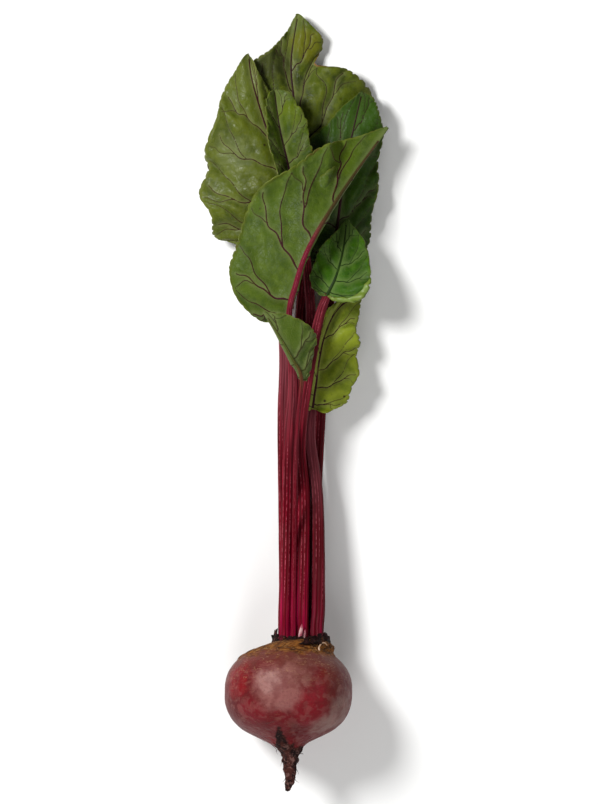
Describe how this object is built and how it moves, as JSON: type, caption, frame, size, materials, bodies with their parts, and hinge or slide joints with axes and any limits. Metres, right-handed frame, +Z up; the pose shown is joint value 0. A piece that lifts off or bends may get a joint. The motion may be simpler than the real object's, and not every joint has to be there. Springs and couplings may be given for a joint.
{
  "type": "beetroot with leaves",
  "caption": "Round red beetroot with a short taproot, long crimson stalks and green leaves with red midribs, lying on its side.",
  "frame": {"origin": "middle of the small flat spot under the bulb, on the surface that the beetroot lies on", "axes": "+Z up from the surface, +Y from the taproot towards the leaf tips, +X to the right seen from above with the leaves away from the viewer"},
  "size_m": [0.1041, 0.428, 0.0693],
  "materials": {
    "root_skin": "satin",
    "stalk_red": "satin",
    "leaf_green": "satin"
  },
  "bodies": {
    "root": {"root": "root_skin", "stalk_top_long": "stalk_red", "blade_top_long": "leaf_green", "stalk_right_back": "stalk_red", "blade_right_back": "leaf_green", "stalk_left_broad": "stalk_red", "blade_left_broad": "leaf_green", "stalk_centre_folded": "stalk_red", "blade_centre_folded": "leaf_green", "stalk_right_bright": "stalk_red", "blade_right_bright": "leaf_green", "stalk_right_small": "stalk_red", "blade_right_small": "leaf_green", "stalk_front_broad": "stalk_red", "blade_front_broad": "leaf_green", "stalk_front_small": "stalk_red", "blade_front_small": "leaf_green"}
  },
  "joints": []
}
